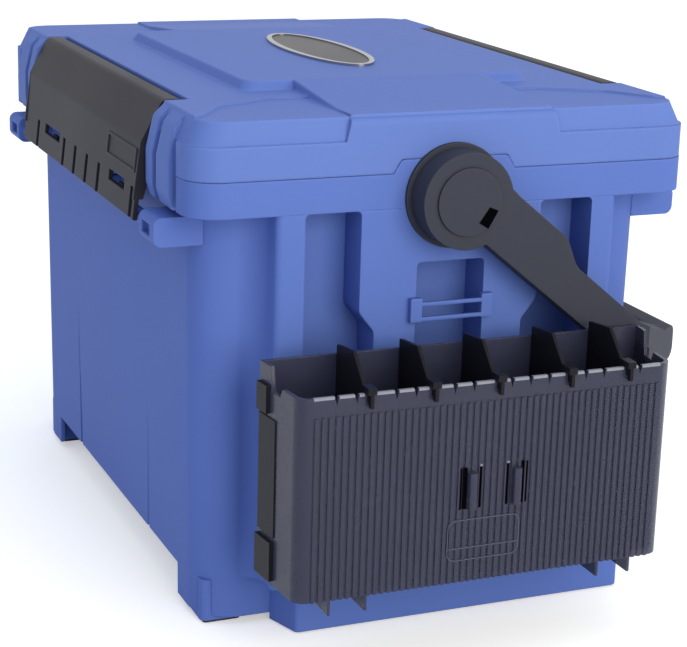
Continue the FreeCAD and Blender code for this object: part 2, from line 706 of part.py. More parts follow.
def tongue(inset, low):
    """Middle of the lid from end to end, level with the seat and flush with the end faces."""
    top = seat_z - inset
    half = TONGUE_WIDTH / 2 - inset
    foot = half + TONGUE_FLARE
    section = [(-foot, low), (foot, low), (half, top), (-half, top)]
    run = along_y(section, -lid_y + inset, lid_y - inset)
    end = lid_y - inset
    start = PLATFORM_LENGTH / 2
    lip = shoulder_z - TONGUE_DROP - inset
    side = [(-end, low), (end, low), (end, lip), (start, top), (-start, top), (-end, lip)]
    radii = [0, 0, TONGUE_LIP_R, TONGUE_BEND_R, TONGUE_BEND_R, TONGUE_LIP_R]
    return run.common(along_x(side, -foot, foot, radii))


def platform(inset, low):
    """Raised seat in the middle of the lid, with sloped edges."""
    half_x = PLATFORM_WIDTH / 2 - inset
    half_y = PLATFORM_LENGTH / 2 - inset
    return frustum(half_x + PLATFORM_SLOPE, half_y + PLATFORM_SLOPE, low,
                   half_x, half_y, seat_z - inset, PLATFORM_CORNER_R)


def corner_step():
    """Shallow cut that lowers the outer corner of the lid beyond its slanted step line."""
    inner = TONGUE_WIDTH / 2 + 1
    line = [(rim_x * (1 - side), lid_y * (1 - end), CORNER_STEP_R) for side, end in CORNER_STEP]
    corners = [(inner, line[0][1], 0)] + line
    corners += [(rim_x + 5, line[-1][1] + 5, 0), (rim_x + 5, rim_y + 5, 0), (inner, rim_y + 5, 0)]
    return prism(corners, shoulder_z - CORNER_DROP, shoulder_z + 1)


def lid_shell():
    """Lid: band, shoulders, tongue, seat platform and ears in one moulding."""
    outer = prism(lid_band_corners(0), lid_foot_z, groove_z)
    upper = shoulder(0, groove_z, shoulder_z).cut(four_corners(corner_step()))
    pieces = [upper, tongue(0, groove_z - 1), platform(0, shoulder_z - 1)]
    for side in (1, -1):
        for ear in lid_ear(side):
            pieces += both_sides(ear)
    outer = outer.multiFuse(pieces).cut(latch_zone(0))
    hollow = prism(lid_band_corners(WALL), lid_foot_z - 1, groove_z + 0.5)
    inner_high = shoulder_z - WALL - CORNER_DROP
    inner = shoulder(WALL, groove_z, inner_high)
    inner = inner.multiFuse([tongue(WALL, groove_z - 1), platform(WALL, inner_high - 1)])
    hollow = hollow.fuse(inner).cut(latch_zone(WALL))
    ear_keep = []
    for side in (1, -1):
        end = side * (ear_end_y + WALL)
        start = side * (ear_inner_y - 1)
        wall = block(waist_x - 12, ear_skin_x, min(start, end), max(start, end),
                     groove_z - 6, shoulder_z)
        ear_keep += both_sides(wall)
    hollow = hollow.cut(ear_keep)
    shell = outer.cut(hollow)
    outline, radii = hub_tab(PARTING_GAP)
    notch = along_y(outline, -rim_y - 1, -rim_y + 2 * WALL, radii)
    seat = rod_y(LATCH_ROD_R, latch_pivot_x, latch_pivot_z, -rod_end_y, rod_end_y)
    shell = shell.cut([notch, turned(notch), seat, turned(seat)])
    return shell.removeSplitter().Solids[0]


def oval(half_x, half_y):
    """Flat oval face."""
    ellipse = Part.Ellipse(V(0, half_y, 0), V(half_x, 0, 0), V(0, 0, 0))
    return Part.Face(Part.Wire(ellipse.toShape()))


def lid_badge():
    """Oval plate on the seat: a raised rim and a plain face inside it."""
    outer = oval(BADGE_WIDTH / 2, BADGE_LENGTH / 2)
    inner = oval(BADGE_WIDTH / 2 - BADGE_RIM, BADGE_LENGTH / 2 - BADGE_RIM)
    rim = outer.cut(inner).extrude(V(0, 0, BADGE_RIM_HEIGHT))
    face = inner.extrude(V(0, 0, BADGE_FACE_HEIGHT))
    rim.translate(V(0, 0, seat_z))
    face.translate(V(0, 0, seat_z))
    return rim.Solids[0], face.Solids[0]


# ---------------------------------------------------------------- latches
def latch_lines():
    """Outer and inner (x, z) lines of the +X latch's folded plate."""
    brow_z = latch_pivot_z + LATCH_BARREL_R
    brow_x = latch_pivot_x + LATCH_BROW
    outside = [(latch_pivot_x, brow_z), (brow_x, brow_z),
               (brow_x + LATCH_CREASE_OUT, brow_z - LATCH_CREASE_DROP),
               (latch_hem_x, latch_hem_z)]
    return outside, offset_line(outside, -LATCH_PLATE)


def latch_inner_face(z):
    """Width position of the plate's inner face at a height below its crease."""
    (x1, z1), (x0, z0) = latch_lines()[1][2:]
    return x0 + (x1 - x0) * (z - z0) / (z1 - z0)


def latch_frame():
    """Bare raised frame on the +X latch's face, near its +Y end."""
    outside = latch_lines()[0]
    line = outside[2:]
    raised = offset_line(line, FRAME_PROUD)
    buried = offset_line(line, -LATCH_PLATE / 2)
    y0, y1 = [share * LATCH_LENGTH / 2 for share in FRAME_SPAN]
    low = latch_hem_z + FRAME_RISE
    high = low + FRAME_HEIGHT
    layer = along_y(raised + buried[::-1], y0, y1)
    opening = block(bar_x - 5, latch_hem_x + 5, y0 + FRAME_LINE, y1 - FRAME_LINE,
                    low + FRAME_LINE, high - FRAME_LINE)
    return layer.common(block(bar_x - 5, latch_hem_x + 5, y0, y1, low, high)).cut(opening)


def latch_right():
    """Full-length latch of the +X side: barrel, folded plate, comb slots and end cheeks."""
    half = LATCH_LENGTH / 2
    outside, inside = latch_lines()
    (brow_x, brow_z), (crease_x, crease_z) = outside[1:3]
    plate = along_y(outside + inside[::-1], -half, half, [0, 5, 9, 1, 0, 6.4, 2.4, 0])
    barrel = rod_y(LATCH_BARREL_R, latch_pivot_x, latch_pivot_z, -half, half)
    foot = latch_hem_z + CHEEK_RISE
    cheek = [(brow_x, brow_z - 1), (crease_x, crease_z), (latch_hem_x - 0.5, foot),
             (latch_hem_x - CHEEK_DEPTH, foot), (crease_x - 1.4 * CHEEK_DEPTH, crease_z - 4),
             (brow_x, latch_pivot_z - 2)]
    cheeks = [along_y(cheek, -half, -half + LATCH_PLATE), along_y(cheek, half - LATCH_PLATE, half)]
    body = plate.multiFuse([barrel] + cheeks)
    side = latch_hem_x + 5
    cuts = []
    for y in comb_y:
        cuts.append(block(bar_x, side, y - COMB_SLOT_WIDTH / 2, y + COMB_SLOT_WIDTH / 2,
                          latch_hem_z - 2, latch_hem_z + COMB_SLOT_HEIGHT))
    window_z = latch_hem_z + COMB_WINDOW_RISE
    for start, end in COMB_WINDOWS:
        cuts.append(block(bar_x, side, start * half, end * half, window_z,
                          window_z + COMB_WINDOW_HEIGHT))
    cuts.append(rod_y(LATCH_ROD_R + ROD_RUNNING_GAP, latch_pivot_x, latch_pivot_z,
                      -half - 1, half + 1))
    return body.cut(cuts).fuse(latch_frame()).removeSplitter().Solids[0]


def latch_rod():
    """Steel rod of the +X latch, held in the lid's ears."""
    return rod_y(LATCH_ROD_R, latch_pivot_x, latch_pivot_z, -rod_end_y, rod_end_y)


def latch_pads():
    """Snap pads inside the +X latch that close round the upper side of the bar."""
    pads = []
    low = bar_z + SNAP_PAD_FOOT
    high = low + SNAP_PAD_HEIGHT
    lip = bar_x - BAR_R + 1
    outline = [(latch_inner_face(low), low), (latch_inner_face(high), high), (bar_x + 1, high),
               (lip, low + BAR_R + 1), (lip, low)]
    for share in SNAP_PADS:
        y0 = share * LATCH_LENGTH / 2 - SNAP_PAD_LENGTH / 2
        pad = along_y(outline, y0, y0 + SNAP_PAD_LENGTH)
        pad = pad.cut(rod_y(BAR_R + LATCH_BAR_GAP, bar_x, bar_z, -rim_y, rim_y))
        pads.append(pad.Solids[0])
    return Part.makeCompound(pads)


# ---------------------------------------------------------------- handle
def at_arm(x, z):
    """Point given along and across the resting arm, as (x, z) of the box."""
    lean = radians(ARM_LEAN)
    return x * cos(lean) + z * sin(lean), hub_z - x * sin(lean) + z * cos(lean)


def arm_outline(inset, tip):
    """Straight part of the arm with its wide shoulder on the upper side."""
    half = ARM_WIDTH / 2 - inset
    rise = ARM_SHOULDER_RISE
    points = [(0, -half), (tip, -half), (tip, half), (ARM_SHOULDER_END + 16, half),
              (ARM_SHOULDER_END, half + rise), (ARM_SHOULDER_START, half + rise), (0, half + rise + 2)]
    radii = [0, 0, 0, 14, 6, 4, 0]
    return [at_arm(x, z) for x, z in points], radii


def arm_end():
    """Outline of the arm's far end, which bends level to meet the grip."""
    half = ARM_WIDTH / 2
    grip_half = GRIP_WIDTH / 2
    lean = radians(ARM_LEAN)
    level = (GRIP_DROP + grip_half - half * cos(lean)) / sin(lean)
    start = ARM_HOLLOW - ARM_WALL
    points = [at_arm(start, -half), at_arm(level, -half), (grip_x + grip_half, grip_z - grip_half),
              (grip_x + grip_half, grip_z + grip_half), (grip_x - grip_half / 2, grip_z + grip_half),
              at_arm(ARM_STRAIGHT, half), at_arm(start, half)]
    return points, [0, 8, GRIP_EDGE_R, GRIP_EDGE_R, 10, 16, 0]


def arm_front():
    """Arm of the -Y end: a ribbed shell open towards the box, turned in to carry the grip."""
    y0 = -arm_outer_y
    y1 = -arm_inner_y
    far = grip_x + GRIP_WIDTH
    points, radii = arm_outline(0, ARM_HOLLOW)
    inner_points, inner_radii = arm_outline(ARM_WALL, ARM_HOLLOW)
    end_points, end_radii = arm_end()
    plug_points, plug_radii = grip_outline(GRIP_WALL)
    body = along_y(points, y0, y1, radii).fuse(rod_y(ARM_BOSS_R, 0, hub_z, y0, y1))
    hollow = along_y(inner_points, y0 + ARM_WALL, y1 + 1, inner_radii)
    hollow = hollow.fuse(rod_y(ARM_BOSS_R - ARM_WALL, 0, hub_z, y0 + ARM_WALL, y1 + 1))
    keep = [rod_y(BUSH_FLANGE_R + 1, 0, hub_z, y0, y1)]
    for reach in (55.0, 85.0, 115.0):
        rib = [at_arm(reach - 1, -ARM_WIDTH), at_arm(reach + 1, -ARM_WIDTH),
               at_arm(reach + 1, ARM_WIDTH), at_arm(reach - 1, ARM_WIDTH)]
        keep.append(along_y(rib, y0, y1 - 1.5))
    elbow = along_y(end_points, y0, -grip_y, end_radii)
    outside = prism([(ELBOW_X, y0, 0), (ELBOW_X, y0 - 1, 0), (far, y0 - 1, 0), (far, -grip_y, 0),
                     (grip_x + GRIP_WIDTH / 2, -grip_y, 0)], 0, RIM_Z)
    inside = rod_y(elbow_r, 0, hub_z, y1, 0)
    plug = along_y(plug_points, -grip_y - 1, -grip_y + GRIP_PLUG, plug_radii)
    seat_depth = CAP_DISH + BOLT_HEAD + WASHER_THICKNESS
    body = body.cut([hollow.cut(keep),
                     rod_y(BUSH_R + BUSH_RUNNING_GAP, 0, hub_z, y0 - 1, y1 + 1),
                     rod_y(CAP_R, 0, hub_z, y0 - 1, y0 + CAP_DISH),
                     rod_y(WASHER_R + 0.5, 0, hub_z, y0 - 1, y0 + seat_depth)])
    body = body.multiFuse([elbow.cut([outside, inside]), plug])
    return body.cut(grip_screw()).removeSplitter().Solids[0]


def grip_outline(inset):
    """Rounded section of the grip."""
    half = GRIP_WIDTH / 2 - inset
    corners = [(-half, -half), (half, -half), (half, half), (-half, half)]
    return [(grip_x + x, grip_z + z) for x, z in corners], [GRIP_EDGE_R - inset] * 4


def grip_screw():
    """Screw of the -Y end, from the grip's inner face through its wall into the arm's plug."""
    face = grip_x - GRIP_WIDTH / 2
    y = -grip_y + GRIP_PLUG / 2
    shank = Part.makeCylinder(GRIP_SCREW_R, GRIP_WIDTH / 2, V(face, y, grip_z), V(1, 0, 0))
    head = Part.makeCylinder(GRIP_SCREW_HEAD_R, GRIP_SCREW_HEAD, V(face, y, grip_z), V(1, 0, 0))
    return joined([shank, head])


def handle_grip():
    """Tubular grip pushed over the arms' plugs."""
    points, radii = grip_outline(0)
    inner_points, inner_radii = grip_outline(GRIP_WALL)
    tube = along_y(points, -grip_y, grip_y, radii)
    screw = grip_screw()
    return tube.cut([along_y(inner_points, -grip_y - 1, grip_y + 1, inner_radii),
                     screw, flipped_y(screw)]).Solids[0]


def handle_screws():
    """Screws that hold the grip on the arms' plugs."""
    screw = grip_screw()
    return Part.makeCompound([screw, flipped_y(screw)])


def hub_plate():
    """Backing disc between the arm and the case."""
    disc = rod_y(HUB_PLATE_R, 0, hub_z, -rim_y - HUB_PLATE_THICKNESS, -rim_y)
    return disc.cut(rod_y(BUSH_R, 0, hub_z, -rim_y - 9, -rim_y + 1))


def hub_bush():
    """Stepped bush through the case wall, on which the arm turns."""
    inner = -rim_y + 2 * WALL
    outer = -arm_outer_y + CAP_DISH + BOLT_HEAD + WASHER_THICKNESS
    sleeve = rod_y(BUSH_R, 0, hub_z, outer, inner)
    flange = rod_y(BUSH_FLANGE_R, 0, hub_z, inner, inner + BUSH_FLANGE)
    return joined([sleeve, flange]).cut(rod_y(BOLT_R, 0, hub_z, outer - 1, inner + 9))


def hub_washer():
    """Washer between the bush and the bolt's head."""
    outer = -arm_outer_y + CAP_DISH + BOLT_HEAD
    ring = rod_y(WASHER_R, 0, hub_z, outer, outer + WASHER_THICKNESS)
    return ring.cut(rod_y(BOLT_R, 0, hub_z, outer - 1, outer + 9))


def hub_bolt():
    """Pivot bolt with its head outside and a nut inside the case."""
    outer = -arm_outer_y + CAP_DISH
    inner = -rim_y + 2 * WALL + BUSH_FLANGE
    shank = rod_y(BOLT_R, 0, hub_z, outer, inner + BOLT_HEAD)
    head = rod_y(BOLT_HEAD_R, 0, hub_z, outer, outer + BOLT_HEAD)
    nut = Part.Face(Part.makePolygon([V(BOLT_HEAD_R * cos(pi / 3 * k), inner,
                                        hub_z + BOLT_HEAD_R * sin(pi / 3 * k))
                                      for k in range(7)])).extrude(V(0, BOLT_HEAD, 0))
    return joined([shank, head, nut])


def hub_cap():
    """Round cover over the bolt, with a short curved slot."""
    y0 = -cap_y
    y1 = -arm_outer_y + CAP_DISH
    disc = rod_y(CAP_R, 0, hub_z, y0, y1)
    middle = radians(CAP_SLOT_ANGLE)
    span = radians(CAP_SLOT_SPAN) / 2
    inner = CAP_SLOT_R - CAP_SLOT_WIDTH / 2
    outer = CAP_SLOT_R + CAP_SLOT_WIDTH / 2
    marks = []
    for radius in (inner, outer):
        marks.append([V(radius * cos(middle + turn), y0 - 1, hub_z + radius * sin(middle + turn))
                      for turn in (-span, 0, span)])
    (a, b, c), (d, e, f) = marks
    edges = [Part.Arc(a, b, c).toShape(), Part.LineSegment(c, f).toShape(),
             Part.Arc(f, e, d).toShape(), Part.LineSegment(d, a).toShape()]
    slot = Part.Face(Part.Wire(edges)).extrude(V(0, CAP_PROUD + CAP_DISH + 2, 0))
    return disc.cut(slot)


# ---------------------------------------------------------------- rails, pocket, tray
def utility_rail():
    """Two thin bars between end blocks, across the window of the -Y end."""
    half = RAIL_WIDTH / 2
    front = -rim_y - RAIL_PROUD
    high = window_top_z - RAIL_DROP
    low = high - RAIL_HEIGHT
    ends = [block(-half, -half + RAIL_END, front, -rim_y, low, high),
            block(half - RAIL_END, half, front, -rim_y, low, high)]
    bars = []
    for z in (low + RAIL_LOW_INSET, high - RAIL_HIGH_INSET - RAIL_BAR):
        bars.append(block(-half + 1, half - 1, front, front + RAIL_BAR, z, z + RAIL_BAR))
    return joined(ends + bars)


def pocket_corners(inset, back_extra, flare):
    """Plan of the pocket: narrower at the front, flared at the back."""
    half = POCKET_WIDTH / 2 - inset
    front = -pocket_front_y + inset
    back = -pocket_back_y - inset + back_extra
    radius = POCKET_CORNER_R - inset
    return [(POCKET_X - half - flare, back, 0), (POCKET_X - half, front, radius),
            (POCKET_X + half, front, radius), (POCKET_X + half + flare, back, 0)]


def pocket_top():
    """Outline of what is cut away above the pocket's dipped end walls and lower front."""
    back = -pocket_back_y
    front = -pocket_front_y - POCKET_RIB
    back_z = pocket_edge_z + POCKET_BACK_RISE
    dip_z = pocket_edge_z - POCKET_DIP
    start = back - POCKET_DIP_START
    end = start - POCKET_DIP_LENGTH
    return [(back + 1, back_z), (start, back_z), (start - POCKET_DIP_SLOPE, dip_z), (end, dip_z),
            (end - POCKET_DIP_SLOPE, pocket_edge_z), (front - 1, pocket_edge_z),
            (front - 1, back_z + 1), (back + 1, back_z + 1)]


def pocket_tub():
    """Clear tub: ribbed front, dipped end walls, notches for the dividers, fins below."""
    top = pocket_edge_z + POCKET_BACK_RISE
    outer = prism(pocket_corners(0, 0, POCKET_FLARE), POCKET_FOOT_Z, top)
    inner = prism(pocket_corners(POCKET_WALL, 0, POCKET_FLARE), POCKET_FOOT_Z + POCKET_WALL,
                  top + 1)
    tub = outer.cut([inner, along_x(pocket_top()[::-1], -POCKET_WIDTH, POCKET_WIDTH)])
    front = -pocket_front_y
    additions = []
    count = int((POCKET_WIDTH - 2 * POCKET_RIB_MARGIN) / POCKET_RIB_PITCH)
    for index in range(count + 1):
        x = POCKET_X - count * POCKET_RIB_PITCH / 2 + index * POCKET_RIB_PITCH
        additions.append(block(x - POCKET_RIB, x + POCKET_RIB, front - POCKET_RIB,
                               front + POCKET_WALL / 2, POCKET_FOOT_Z,
                               pocket_edge_z - POCKET_BAND))
    for share in BLADES:
        x = POCKET_X + share * POCKET_WIDTH / 2
        start = front + BLADE_SETBACK
        additions.append(block(x - BLADE_THICKNESS / 2, x + BLADE_THICKNESS / 2, start,
                               start + BLADE_LENGTH, POCKET_FOOT_Z - BLADE_DROP,
                               POCKET_FOOT_Z + POCKET_WALL / 2))
    tub = tub.multiFuse(additions)
    cuts = []
    low = pocket_edge_z - NOTCH_DEPTH
    gap = DIVIDER_THICKNESS / 2 + DIVIDER_GAP
    for x in divider_x:
        cuts.append(block(x - gap, x + gap, front - 5, front + POCKET_WALL + 1, low,
                          pocket_edge_z + 1))
    steps = int((POCKET_WIDTH - 4 * POCKET_CORNER_R) / NOTCH_PITCH)
    for index in range(steps + 1):
        x = POCKET_X - steps * NOTCH_PITCH / 2 + index * NOTCH_PITCH
        if min(abs(x - place) for place in divider_x) < 2 * NOTCH_WIDTH:
            continue
        notch = [(x - NOTCH_WIDTH / 2, pocket_edge_z + 1), (x, low),
                 (x + NOTCH_WIDTH / 2, pocket_edge_z + 1)]
        cuts.append(along_y(notch, front - 3, front + POCKET_WALL + 1))
    return tub.cut(cuts).removeSplitter().Solids[0]


def pocket_divider(x):
    """Fin that drops into the pocket, with a slanting front edge and a block on the pocket's edge."""
    back = -pocket_back_y - POCKET_WALL - DIVIDER_GAP
    front = -pocket_front_y + POCKET_WALL + DIVIDER_GAP
    foot = POCKET_FOOT_Z + POCKET_WALL + DIVIDER_LIFT
    seat = pocket_edge_z - NOTCH_DEPTH + DIVIDER_GAP
    hook = -hook_y
    lip = hook + DIVIDER_HOOK
    low = pocket_edge_z + DIVIDER_GAP
    high = low + DIVIDER_CAP_HEIGHT
    start = pocket_edge_z + DIVIDER_RISE
    outline = [(hook, high), (hook, seat - DIVIDER_HOOK_DROP), (lip, seat - DIVIDER_HOOK_DROP),
               (lip, seat), (front, seat), (front, foot), (back, foot), (back, start),
               (back - DIVIDER_TOP, start + DIVIDER_TOP_RISE), (hook + DIVIDER_CAP_LENGTH, low),
               (hook + DIVIDER_CAP_LENGTH, high)]
    half = DIVIDER_THICKNESS / 2
    fin = along_x(outline, x - half, x + half)
    cap = block(x - DIVIDER_CAP_WIDTH / 2, x + DIVIDER_CAP_WIDTH / 2, hook,
                hook + DIVIDER_CAP_LENGTH, low, high)
    return joined([fin, cap])


def hanger_screw_places():
    """Places of the hanger's four screws, as (x, z)."""
    x = HANGER_WIDTH / 2 - HANGER_SCREW_INSET
    return [(side, z) for side in (x, -x)
            for z in (hanger_foot_z + HANGER_SCREW_INSET, hanger_top_z - HANGER_SCREW_INSET)]


def hanger_holes():
    """Screw holes in the case for the hanger."""
    return [rod_y(HANGER_SCREW_R, x, z, -rim_y - 1, -rim_y + WALL + 1)
            for x, z in hanger_screw_places()]


def pocket_hanger():
    """Bent bracket that carries the pocket clear of the swinging arm."""
    wall_face = -rim_y
    pocket_face = -pocket_back_y
    half = HANGER_WIDTH / 2
    arm = HANGER_ARM_WIDTH / 2
    top = hanger_top_z - HANGER_PLATE
    plates = [block(-half, half, wall_face - HANGER_PLATE, wall_face, hanger_foot_z, hanger_top_z),
              block(-arm, arm, pocket_face, wall_face, top, hanger_top_z),
              block(-arm, arm, pocket_face, pocket_face + HANGER_PLATE, hanger_foot_z, top)]
    holes = [rod_y(HANGER_SCREW_R, x, z, wall_face - HANGER_PLATE - 1, wall_face + 1)
             for x, z in hanger_screw_places()]
    return joined(plates).cut(holes)


def hanger_screws():
    """Four pan-head screws of the hanger."""
    face = -rim_y - HANGER_PLATE
    screws = []
    for x, z in hanger_screw_places():
        shank = rod_y(HANGER_SCREW_R, x, z, face - HANGER_SCREW_HEAD, face + HANGER_SCREW_LENGTH)
        head = rod_y(HANGER_SCREW_HEAD_R, x, z, face - HANGER_SCREW_HEAD, face)
        screws.append(joined([shank, head]))
    return Part.makeCompound(screws)


def tray_plan(inset):
    """Outline of the tray: rounded to the case's corners at one end."""
    wide = max(CASE_CORNER_R, TRAY_CORNER_R) - inset
    small = TRAY_CORNER_R - inset
    side = tray_x - inset
    return [(side, tray_start_y + inset, wide), (side, tray_end_y - inset, small),
            (-side, tray_end_y - inset, small), (-side, tray_start_y + inset, wide)]


def tray():
    """Open tray that slides on the ledges, with slots for its partitions."""
    high = tray_z + TRAY_DEPTH
    pan = prism(tray_plan(0), tray_z, high)
    pan = pan.cut(prism(tray_plan(TRAY_WALL), tray_z + TRAY_WALL, high + 1))
    gap = PARTITION_THICKNESS / 2 + PARTITION_GAP
    runners = []
    for x in partition_x:
        for left in (x - gap - RUNNER, x + gap):
            for y0, y1 in ((tray_start_y + TRAY_WALL / 2, tray_start_y + TRAY_WALL + RUNNER),
                           (tray_end_y - TRAY_WALL - RUNNER, tray_end_y - TRAY_WALL / 2)):
                runners.append(block(left, left + RUNNER, y0, y1, tray_z + TRAY_WALL / 2,
                                     high - PARTITION_DROP))
    return joined([pan] + runners)


def tray_dividers():
    """Two loose partitions standing in the tray's slots."""
    start = tray_start_y + TRAY_WALL + PARTITION_GAP
    end = tray_end_y - TRAY_WALL - PARTITION_GAP
    half = PARTITION_THICKNESS / 2
    return Part.makeCompound([block(x - half, x + half, start, end, tray_z + TRAY_WALL,
                                    tray_z + TRAY_DEPTH - PARTITION_DROP)
                              for x in partition_x])


def foot_pads():
    """Soft pads under the four feet."""
    return Part.makeCompound(four_corners(prism(foot_corners(PAD_INSET), 0, PAD_THICKNESS)))


def build_nodes():
    """Every separate piece under its own name."""
    badge_rim, badge_face = lid_badge()
    arm = arm_front()
    latch = latch_right()
    rod = latch_rod()
    pads = latch_pads()
    bar = latch_bar()
    skirt = end_skirt()
    pillars, panel = end_pieces()
    nodes = {
        "body_shell": body_shell(),
        "case_rim": case_rim(),
        "tray_ledges": tray_ledges(),
        "end_pillars_front": pillars,
        "end_pillars_rear": turned(pillars),
        "end_panel_front": panel,
        "end_panel_rear": turned(panel),
        "latch_bar_right": bar,
        "latch_bar_left": turned(bar),
        "end_skirt_front": skirt,
        "end_skirt_rear": turned(skirt),
        "foot_blocks": foot_blocks(),
        "foot_pads": foot_pads(),
        "lid_shell": lid_shell(),
        "lid_badge_rim": badge_rim,
        "lid_badge_face": badge_face,
        "latch_right": latch,
        "latch_left": turned(latch),
        "latch_rod_right": rod,
        "latch_rod_left": turned(rod),
        "latch_pads_right": pads,
        "latch_pads_left": turned(pads),
        "handle_arm_front": arm,
        "handle_arm_rear": flipped_y(arm),
        "handle_grip": handle_grip(),
        "handle_screws": handle_screws(),
        "pocket_tub": pocket_tub(),
        "pocket_hanger": pocket_hanger(),
        "pocket_hanger_screws": hanger_screws(),
        "tray": tray(),
        "tray_dividers": tray_dividers(),
    }
    pairs = {"hub_plate": hub_plate(), "hub_bush": hub_bush(), "hub_washer": hub_washer(),
             "hub_bolt": hub_bolt(), "hub_cap": hub_cap(), "utility_rail": utility_rail()}
    for name, shape in pairs.items():
        nodes[name + "_front"] = shape
        nodes[name + "_rear"] = flipped_y(shape)
    for index, x in enumerate(divider_x):
        nodes["pocket_divider_%d" % (index + 1)] = pocket_divider(x)
    for shape in nodes.values():
        shape.translate(V(0, frame_y, 0))
    return nodes


os.makedirs("parts", exist_ok=True)
for name, shape in build_nodes().items():
    shape.exportStep("parts/" + name + ".step")
    print("%-22s solids %2d  valid %s  volume %10.1f" % (name, len(shape.Solids), shape.isValid(),
                                                          shape.Volume))
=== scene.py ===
import math

import bpy
import numpy as np
from mathutils import Matrix, Vector


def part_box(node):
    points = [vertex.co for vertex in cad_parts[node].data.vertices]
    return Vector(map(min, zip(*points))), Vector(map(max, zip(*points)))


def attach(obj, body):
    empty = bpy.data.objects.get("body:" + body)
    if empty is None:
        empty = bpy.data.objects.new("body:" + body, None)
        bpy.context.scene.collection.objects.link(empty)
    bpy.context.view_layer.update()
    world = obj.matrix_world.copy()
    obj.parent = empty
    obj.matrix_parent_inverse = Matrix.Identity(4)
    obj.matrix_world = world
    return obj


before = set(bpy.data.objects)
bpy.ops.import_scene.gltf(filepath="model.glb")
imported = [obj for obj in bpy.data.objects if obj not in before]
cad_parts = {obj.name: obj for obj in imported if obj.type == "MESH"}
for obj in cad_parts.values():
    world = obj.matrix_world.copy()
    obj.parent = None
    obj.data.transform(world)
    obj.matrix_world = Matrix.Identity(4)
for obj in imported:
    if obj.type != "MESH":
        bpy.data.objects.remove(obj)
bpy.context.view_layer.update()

# ---------------------------------------------------------------- camera
# The viewpoint is a little above the lid, off the front left corner, with a
# long lens, so that the pocket end and the left latch both show.

camera_place = Vector((-0.46372, -1.12870, 0.48284))
camera_yaw = math.radians(22.87)
camera_pitch = math.radians(16.04)
camera_roll = math.radians(1.65)
ahead = Vector((math.sin(camera_yaw) * math.cos(camera_pitch),
                math.cos(camera_yaw) * math.cos(camera_pitch),
                -math.sin(camera_pitch)))
level = Vector((math.cos(camera_yaw), -math.sin(camera_yaw), 0.0))
upward = level.cross(ahead)
right = math.cos(camera_roll) * level + math.sin(camera_roll) * upward
above = -math.sin(camera_roll) * level + math.cos(camera_roll) * upward
camera_data = bpy.data.cameras.new("camera")
camera_data.lens = 98.55
camera_data.sensor_width = 36.0
camera_data.clip_end = 20.0
camera = bpy.data.objects.new("camera", camera_data)
bpy.context.scene.collection.objects.link(camera)
camera.matrix_world = Matrix((
    (right.x, above.x, -ahead.x, camera_place.x),
    (right.y, above.y, -ahead.y, camera_place.y),
    (right.z, above.z, -ahead.z, camera_place.z),
    (0.0, 0.0, 0.0, 1.0)))
bpy.context.scene.camera = camera
bpy.context.scene.view_settings.view_transform = "Standard"

# ---------------------------------------------------------------- floor and lights
# A plain floor runs out of sight under a plain sky. Both look white to the eye,
# in gloss and through clear plastic, and light the box softly; one broad warm
# lamp stands in front of the box and a weaker one hangs overhead.

floor_half = 6.0
floor_mesh = bpy.data.meshes.new("floor")
floor_mesh.from_pydata([(-floor_half, -floor_half, 0), (floor_half, -floor_half, 0),
                        (floor_half, floor_half, 0), (-floor_half, floor_half, 0)],
                       [], [(0, 1, 2, 3)])
floor = bpy.data.objects.new("floor", floor_mesh)
bpy.context.scene.collection.objects.link(floor)


def new_material(name, roughness, specular=0.5):
    """An empty Principled material and its shader."""
    material = bpy.data.materials.new(name)
    material.use_nodes = True
    shader = material.node_tree.nodes["Principled BSDF"]
    shader.inputs["Roughness"].default_value = roughness
    shader.inputs["Specular IOR Level"].default_value = specular
    return material, shader


def seen_mask(tree):
    """One for the rays of the eye, of gloss and of clear plastic, and nought for plain light."""
    nodes, links = tree.nodes, tree.links
    rays = nodes.new("ShaderNodeLightPath")
    mask = rays.outputs["Is Camera Ray"]
    for kind in ("Is Glossy Ray", "Is Transmission Ray"):
        either = nodes.new("ShaderNodeMath")
        either.operation = "MAXIMUM"
        links.new(mask, either.inputs[0])
        links.new(rays.outputs[kind], either.inputs[1])
        mask = either.outputs[0]
    return mask


pale_floor, pale_shader = new_material("pale_floor", 0.9, 0.0)
pale_shader.inputs["Base Color"].default_value = (0.80, 0.80, 0.80, 1.0)
pale_shader.inputs["Emission Color"].default_value = (1.0, 1.0, 1.0, 1.0)
floor_glow = pale_floor.node_tree.nodes.new("ShaderNodeMapRange")
floor_glow.inputs["To Max"].default_value = 0.42
pale_floor.node_tree.links.new(seen_mask(pale_floor.node_tree), floor_glow.inputs["Value"])
pale_floor.node_tree.links.new(floor_glow.outputs["Result"],
                               pale_shader.inputs["Emission Strength"])
floor_mesh.materials.append(pale_floor)

sky = bpy.data.worlds.new("sky")
bpy.context.scene.world = sky
sky.use_nodes = True
sky_nodes, sky_links = sky.node_tree.nodes, sky.node_tree.links
sky_fill = sky_nodes["Background"]
sky_fill.inputs["Color"].default_value = (0.84, 0.91, 1.0, 1.0)
sky_fill.inputs["Strength"].default_value = 0.86
sky_seen = sky_nodes.new("ShaderNodeBackground")
sky_seen.inputs["Color"].default_value = (1.0, 1.0, 1.0, 1.0)
sky_mix = sky_nodes.new("ShaderNodeMixShader")
sky_links.new(seen_mask(sky.node_tree), sky_mix.inputs["Fac"])
sky_links.new(sky_fill.outputs["Background"], sky_mix.inputs[1])
sky_links.new(sky_seen.outputs["Background"], sky_mix.inputs[2])
sky_links.new(sky_mix.outputs["Shader"], sky_nodes["World Output"].inputs["Surface"])


